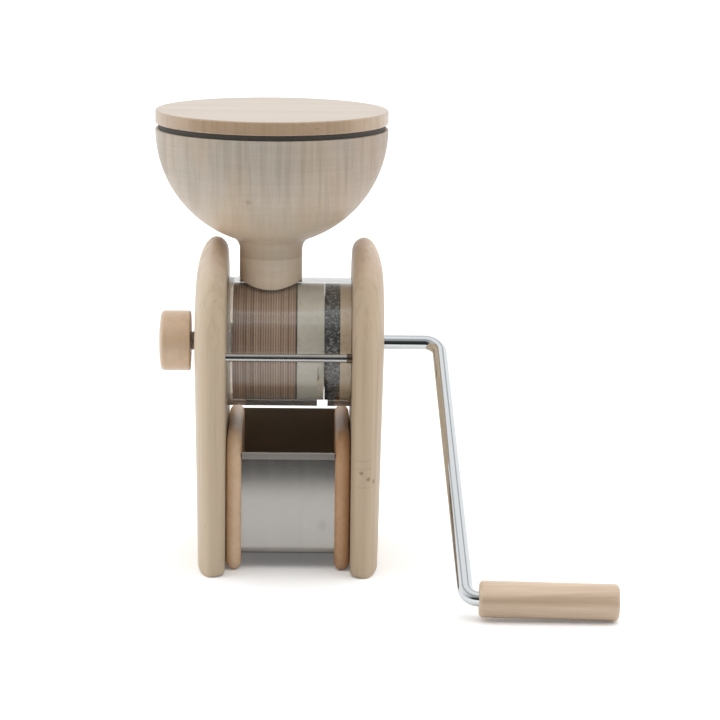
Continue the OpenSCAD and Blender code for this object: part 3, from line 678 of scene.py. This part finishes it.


# The bowl's own figure: upright stripes that fade below the rim, faint curl and turning lines; and
# painted shade, darker and redder, towards the right
def bowl_wood(name):
    made, shader = new_material(name)
    place = place_xyz(made)
    level = level_between(made, place, "Z", saddle_z, rim_z)
    stripe = noise(made, object_coords(made, (1, 0.1, 0.03)), 300, 4, 0.6)
    blush = noise(made, object_coords(made, (1, 0.3, 0.35)), 34, 2, 0.5)
    curl = noise(made, object_coords(made, (0.16, 0.16, 1)), 210, 3, 0.6, 0.2)
    turning = noise(made, object_coords(made, (0.012, 0.012, 1)), 640, 4, 0.6)
    fibre = noise(made, object_coords(made, (1, 1, 0.05)), 1500, 3, 0.6)
    fade = ramp(made, level, "Result", [(0.3, 0.2), (0.8, 1.0)])
    right_shade = level_between(made, place, "X", right_shade_from, right_shade_to, interpolation_type="SMOOTHSTEP")
    tone = ramp(made, level, "Result", hopper_tones)
    tone = mixed(made, "MULTIPLY", (fade, "Color"), tone, ramp(made, stripe, "Fac", stripe_tones))
    tone = mixed(made, "MULTIPLY", 0.5, tone, ramp(made, curl, "Fac", curl_tones))
    tone = mixed(made, "MULTIPLY", 0.55, tone, ramp(made, turning, "Fac", [(0.35, 0.93), (0.6, 1.02)]))
    tone = mixed(made, "MULTIPLY", 1.0, tone, ramp(made, blush, "Fac", blush_tones))
    # Painted shade: the bowl's right side is made darker and redder
    tone = mixed(made, "MULTIPLY", (right_shade, "Result"), tone, right_painted_shade)
    set_colour(made, mixed(made, "MULTIPLY", 0.5, tone, ramp(made, fibre, "Fac", [(0.3, 0.94), (0.6, 1.0)])))
    join(made, ramp(made, turning, "Fac", [(0.3, 0.46), (0.7, 0.36)]), "Color", shader, "Roughness")
    shader.inputs["Specular IOR Level"].default_value = 0.6
    raised = bump(made, fibre, "Fac", 0.1, 0.00008)
    bump(made, turning, "Fac", 0.14, 0.00012, raised)
    return made


hopper_wood = bowl_wood("hopper_maple")
# Painted light: below the shade of the bowl, the lower neck is made paler and greyer
paint_light_by_height(hopper_wood, neck_light_from, neck_light_to, neck_painted_light)
add_marks(hopper_wood, (hopper_x, axis_y, rim_z), hopper_marks, maple_mark)
piece("turned_hopper", hopper_points, hopper_faces, "hopper_bowl", ["hopper"], "maple", hopper_wood)


# Lid: a flat disc turned from a maple board, with its edges just broken and a shallow plug
# below it. A dark rubber ring between lid and bowl keeps moisture and flies out.
lid_round = 1.2 * mm
plug_gap = 0.8 * mm
lid_tones = ((0.49, 0.345, 0.225), (0.40, 0.27, 0.165))
hatch_tones = [(0.35, (0.90, 0.85, 0.78)), (0.5, (1.0, 0.985, 0.96)), (0.65, (1.03, 1.03, 1.02))]
lid_painted_sheen = (0.93, 0.99, 1.03)
rubber_tones = [(0.3, (0.060, 0.056, 0.048)), (0.7, (0.085, 0.079, 0.068))]
lid_low, lid_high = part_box("hopper_lid")
lid_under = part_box("lid_seal")[1].z
lid_top_from, lid_top_to = lid_high.z - 0.8 * mm, lid_high.z - 0.1 * mm
plug_r = bowl_in_r - plug_gap
lid_flat_r = (lid_high.x - lid_low.x) / 2 - lid_round
lid_outline = ([(0, lid_low.z), (plug_r, lid_low.z), (plug_r, lid_under)]
               + quarter(lid_flat_r, lid_under + lid_round, lid_round, lid_round, -90, 0, 6)
               + quarter(lid_flat_r, lid_high.z - lid_round, lid_round, lid_round, 0, 90, 6) + [(0, lid_high.z)])
lid_wood = wood("lid_maple", *lid_tones, 0, 57, figure=0.6, rough=(0.26, 0.36), lined=0.2, pored=0.0, sheen=1.0)
# Upright stripes on the edge only, where the board's end grain was cut
lid_hatch = noise(lid_wood, object_coords(lid_wood, (1, 0.1, 0.03)), 420, 3, 0.6)
lid_edge = level_between(lid_wood, place_xyz(lid_wood), "Z", lid_top_to, lid_top_from)
lid_edge.inputs["To Max"].default_value = 0.8
set_colour(lid_wood, mixed(lid_wood, "MULTIPLY", (lid_edge, "Result"), colour_of(lid_wood),
                           ramp(lid_wood, lid_hatch, "Fac", hatch_tones)))
# Painted sheen: the lid's top face is made greyer and less orange
paint_light_by_height(lid_wood, lid_top_from, lid_top_to, lid_painted_sheen)
coat(lid_wood, 0.5, 0.25)
piece("turned_lid", *lathe(lid_outline, (hopper_x, axis_y, 0), (0, 0, 1), 160), "lid", ["hopper_lid"], "lid_maple",
      lid_wood)
seal_rubber, rubber_shader = new_material("seal_rubber")
rubber_grain = noise(seal_rubber, object_coords(seal_rubber), 900, 4, 0.6)
set_colour(seal_rubber, ramp(seal_rubber, rubber_grain, "Fac", rubber_tones))
rubber_gloss = ramp(seal_rubber, rubber_grain, "Fac", [(0.3, 0.75), (0.7, 0.6)])
join(seal_rubber, rubber_gloss, "Color", rubber_shader, "Roughness")
bump(seal_rubber, rubber_grain, "Fac", 0.15, 0.0002)
dress(["lid_seal"], seal_rubber)


# Flour drawer: one brushed steel sheet bent to a trough with a rolled hem on its front lip,
# let into saw cuts in two beech sides. The sides have rounded edges and a rounded front corner.
# Inside, the sheet is painted a dull brown and made less metallic: painted shade and reflection of the dark inside.
side_corner = 26 * mm
side_low_corner = 6 * mm
sheet_t = 1.2 * mm
lip_z = 86.6 * mm
bend_r = 6 * mm
rim_edge = 0.4 * mm
hem_h = 5 * mm
hem_roll = 2.3 * mm
hem_edge = 0.25 * mm
hem_gap = 0.3 * mm
trough_grey = (0.465, 0.445, 0.42)
inside_painted_tone = (0.40, 0.365, 0.305)
smudge_grey = (0.24, 0.23, 0.22)
smudge = (25, 0, 33, 4.5, 1.2, 0.35)
hem_rough = 0.62
bare_metallic, inside_shade_metallic = 0.86, 0.35
# One beech in a lit and a shaded copy: the left side is painted paler, as lit from the left and front, the right side
# darker and redder, as in shade
beech_lit_and_shaded_tones = {"left": ((0.82, 0.60, 0.405), (0.69, 0.475, 0.30)),
               "right": ((0.58, 0.345, 0.19), (0.46, 0.25, 0.125))}
beech_seeds = {"left": 63, "right": 71}
trough_low, trough_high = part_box("drawer_trough")
lip_y, rim_y = trough_low.y + sheet_t, trough_high.y
floor_z = trough_low.z
fold_z = lip_z - sheet_t
bend_z = floor_z + bend_r
trough_steel = metal("brushed_steel", trough_grey, 0.14, 2, lines=120, scratch=0.00003, stain=0.3, streak=0.07,
                     pure=bare_metallic)
trough_shader = shader_of(trough_steel)
trough_place = place_xyz(trough_steel)
past_front = level_between(trough_steel, trough_place, "Y", lip_y + 0.5 * mm, lip_y + 1.1 * mm)
before_back = level_between(trough_steel, trough_place, "Y", rim_y - 0.5 * mm, rim_y - 1.1 * mm)
above_bend = level_between(trough_steel, trough_place, "Z", bend_z, bend_z + 2 * mm)
on_hem = level_between(trough_steel, trough_place, "Y", lip_y - 0.02 * mm, lip_y - 0.1 * mm)
between_walls = add_node(trough_steel, "Math", operation="MINIMUM")
join(trough_steel, past_front, "Result", between_walls, 0)
join(trough_steel, before_back, "Result", between_walls, 1)
# Painted shade and reflection: the inner faces above the bend get a dull brown colour
inside_shade_mask = add_node(trough_steel, "Math", operation="MINIMUM")
join(trough_steel, between_walls, "Value", inside_shade_mask, 0)
join(trough_steel, above_bend, "Result", inside_shade_mask, 1)
sheet_gloss = trough_shader.inputs["Roughness"].links[0].from_node
hem_gloss = mixed(trough_steel, "MIX", (on_hem, "Result"), sheet_gloss, (hem_rough, hem_rough, hem_rough))
join(trough_steel, hem_gloss, "Color", trough_shader, "Roughness")
set_colour(trough_steel, mixed(trough_steel, "MIX", (inside_shade_mask, "Value"), colour_of(trough_steel), inside_painted_tone))
inside_shade_metal_ramp = ramp(trough_steel, inside_shade_mask, "Value", [(0.0, bare_metallic), (1.0, inside_shade_metallic)])
join(trough_steel, inside_shade_metal_ramp, "Color", trough_shader, "Metallic")
add_marks(trough_steel, ((trough_low.x + trough_high.x) / 2, trough_low.y, 0), [smudge], smudge_grey)


# A bar with the given outline (y, z) from one x to another, added to a mesh
def add_bar(points, faces, outline, x0, x1):
    first, count = len(points), len(outline)
    points += [(x, y, z) for x in (x0, x1) for y, z in outline]
    for i in range(count):
        j = (i + 1) % count
        faces.append((first + i, first + j, first + count + j, first + count + i))
    faces += [tuple(first + i for i in reversed(range(count))), tuple(first + count + i for i in range(count))]


inner_bend = bend_r - sheet_t
sheet_outline = ([(lip_y, fold_z)] + quarter(lip_y + bend_r, bend_z, bend_r, bend_r, 180, 270, 12)
                 + quarter(rim_y - bend_r, bend_z, bend_r, bend_r, 270, 360, 12)
                 + quarter(rim_y - rim_edge, trough_high.z - rim_edge, rim_edge, rim_edge, 0, 90, 4)
                 + quarter(rim_y - sheet_t + rim_edge, trough_high.z - rim_edge, rim_edge, rim_edge, 90, 180, 4)
                 + quarter(rim_y - bend_r, bend_z, inner_bend, inner_bend, 360, 270, 12)
                 + quarter(lip_y + bend_r, bend_z, inner_bend, inner_bend, 270, 180, 12)
                 + [(lip_y + sheet_t, fold_z)])
hem_low = lip_z - hem_h + hem_edge
hem_front = lip_y - sheet_t
hem_outline = (quarter(lip_y + sheet_t - hem_edge, lip_z - hem_edge, hem_edge, hem_edge, 0, 90, 4)
               + quarter(hem_front + hem_roll, hem_low, hem_roll, lip_z - hem_low, 90, 180, 24)[1:]
               + quarter(hem_front + hem_edge, hem_low, hem_edge, hem_edge, 180, 270, 4)[1:]
               + [(lip_y, hem_low - hem_edge), (lip_y, fold_z), (lip_y + sheet_t, fold_z)])
hem_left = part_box("drawer_left_side")[1].x + hem_gap
hem_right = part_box("drawer_right_side")[0].x - hem_gap
trough_points, trough_faces = [], []
add_bar(trough_points, trough_faces, sheet_outline, trough_low.x, trough_high.x)
add_bar(trough_points, trough_faces, hem_outline, hem_left, hem_right)
piece("bent_trough", trough_points, trough_faces, "drawer", ["drawer_trough"], "trough_steel", trough_steel)


def drawer_side_outline(y0, y1, z0, z1, inset):
    low, corner = side_low_corner - inset, side_corner - inset
    return (quarter(y0 + side_low_corner, z0 + side_low_corner, low, low, 180, 270, 8)
            + quarter(y1 - side_low_corner, z0 + side_low_corner, low, low, 270, 360, 8)
            + quarter(y1 - side_low_corner, z1 - side_low_corner, low, low, 0, 90, 8)
            + quarter(y0 + side_corner, z1 - side_corner, corner, corner, 90, 180, 20))


for side in ("left", "right"):
    low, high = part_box(f"drawer_{side}_side")
    edge = (high.x - low.x) / 2
    points, faces = [], []
    steps = 18
    for k in range(steps + 1):
        a = math.pi * k / steps
        ring = drawer_side_outline(low.y, high.y, low.z, high.z, edge * (1 - math.sin(a)))
        points += [(low.x + edge * (1 - math.cos(a)), y, z) for y, z in ring]
    count = len(ring)
    for k in range(steps):
        for i in range(count):
            j = (i + 1) % count
            faces.append((k * count + i, k * count + j, (k + 1) * count + j, (k + 1) * count + i))
    faces.append(tuple(reversed(range(count))))
    faces.append(tuple(steps * count + i for i in range(count)))
    # Painted light and shade: each side takes its lit or shaded tones
    side_wood = wood(f"{side}_drawer_beech", *beech_lit_and_shaded_tones[side], 1, beech_seeds[side], figure=0.55, lined=0.4,
                     pored=0.0, sheen=0.6, hairy=0.2)
    piece(f"drawer_{side}", points, faces, "drawer", [f"drawer_{side}_side"], "beech", side_wood)


# The view: a long lens in front of the mill, a little above it, on a white table. The light is
# that of a white studio: strongest from above, then from both sides. Mirror-like surfaces see
# the room dark behind the camera, and the table ending in front of the mill.
lens, sensor, sideways = 150, 36, 0.0733
camera_right, camera_back, camera_up = 13 * mm, 2152.7 * mm, 402.7 * mm
camera_down, camera_roll = math.radians(10.95), math.radians(0.5)
far = 200
middle_x = (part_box("left_side_board")[1].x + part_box("right_side_board")[0].x) / 2
camera_data = bpy.data.cameras.new("camera")
camera_data.lens, camera_data.sensor_width = lens, sensor
camera_data.shift_x = sideways
camera_data.clip_end = far
camera = bpy.data.objects.new("camera", camera_data)
camera_place = (middle_x + camera_right, axis_y - camera_back, axis_z + camera_up)
camera.matrix_world = (Matrix.Translation(camera_place) @ Matrix.Rotation(math.pi / 2 - camera_down, 4, "X")
                       @ Matrix.Rotation(camera_roll, 4, "Z"))
bpy.context.scene.collection.objects.link(camera)
bpy.context.scene.camera = camera
bpy.context.scene.view_settings.view_transform = "Standard"

# The floor looks white to the camera and through the drum, and keeps its shadows
table_edge = (-290 * mm, -235 * mm)
table_white = 0.88
beyond_table = 0.02
table_glow = 0.12
reach = 60
floor_mesh = bpy.data.meshes.new("floor")
floor_mesh.from_pydata([(-reach, -reach, 0), (reach, -reach, 0), (reach, reach, 0), (-reach, reach, 0)], [],
                       [(0, 1, 2, 3)])
floor = bpy.data.objects.new("floor", floor_mesh)
bpy.context.scene.collection.objects.link(floor)
floor_white = bpy.data.materials.new("floor_white")
floor_white.use_nodes = True
floor_white.node_tree.nodes.clear()
seen_floor = add_node(floor_white, "BsdfDiffuse")
seen_floor.inputs["Color"].default_value = (1, 1, 1, 1)
floor_glow = add_node(floor_white, "Emission")
floor_glow.inputs["Strength"].default_value = table_glow
seen_sum = add_node(floor_white, "AddShader")
join(floor_white, seen_floor, "BSDF", seen_sum, 0)
join(floor_white, floor_glow, "Emission", seen_sum, 1)
other_floor = add_node(floor_white, "BsdfDiffuse")
on_table = level_between(floor_white, place_xyz(floor_white), "Y", *table_edge, interpolation_type="SMOOTHSTEP")
floor_path = add_node(floor_white, "LightPath")
floor_tone = add_node(floor_white, "MixRGB", blend_type="MIX")
floor_tone.inputs["Color1"].default_value = (table_white, table_white, table_white, 1)
join(floor_white, floor_path, "Is Glossy Ray", floor_tone, "Fac")
mirrored_floor = ramp(floor_white, on_table, "Result", [(0.0, beyond_table), (1.0, table_white)])
join(floor_white, mirrored_floor, "Color", floor_tone, "Color2")
join(floor_white, floor_tone, "Color", other_floor, "Color")
floor_seen = add_node(floor_white, "Math", operation="MAXIMUM")
join(floor_white, floor_path, "Is Camera Ray", floor_seen, 0)
join(floor_white, floor_path, "Is Transmission Ray", floor_seen, 1)
floor_mix = add_node(floor_white, "MixShader")
floor_out = add_node(floor_white, "OutputMaterial")
join(floor_white, floor_seen, "Value", floor_mix, 0)
join(floor_white, other_floor, "BSDF", floor_mix, 1)
join(floor_white, seen_sum, "Shader", floor_mix, 2)
join(floor_white, floor_mix, "Shader", floor_out, "Surface")
floor.data.materials.append(floor_white)

# The room from front (0) to back (1), as it lights the mill and as it is seen
lit_tones = [(0.0, 0.05), (0.2, 0.10), (0.4, 0.6), (0.55, 0.9), (0.75, 1.0)]
seen_tones = [(0.0, 0.04), (0.05, 0.06), (0.13, 0.5), (0.3, 0.85), (0.5, 0.95), (0.7, 1.0)]
ceiling_tones = [(0.70, 1.0), (0.78, 0.5), (0.86, 0.5), (0.92, 1.0)]
world = bpy.data.worlds.new("white_room")
world.use_nodes = True
bpy.context.scene.world = world
room = world.node_tree.nodes["Background"]
room_coords = add_node(world, "TexCoord")
room_split = add_node(world, "SeparateXYZ")
join(world, room_coords, "Generated", room_split, "Vector")
room_depth = level_between(world, room_split, "Y", -1, 1)
lit_room = ramp(world, room_depth, "Result", lit_tones)
seen_room = mixed(world, "MULTIPLY", 1.0, ramp(world, room_depth, "Result", seen_tones),
                  ramp(world, room_split, "Z", ceiling_tones))
room_path = add_node(world, "LightPath")
join(world, mixed(world, "MIX", (room_path, "Is Diffuse Ray"), seen_room, lit_room), "Color", room, "Color")

# Each lamp: azimuth and height in degrees, strength, and the angle over which it is spread
lamps = {"top_light": (0, 84, 1.5, 80), "left_light": (-65, 28, 0.47, 60), "right_light": (75, 30, 0.46, 60)}
for name, (azimuth, height, strength, spread) in lamps.items():
    lamp_data = bpy.data.lights.new(name, "SUN")
    lamp_data.energy = strength
    lamp_data.angle = math.radians(spread)
    lamp = bpy.data.objects.new(name, lamp_data)
    lamp.rotation_euler = (math.radians(90 - height), 0, math.radians(azimuth))
    lamp.visible_glossy = False
    bpy.context.scene.collection.objects.link(lamp)
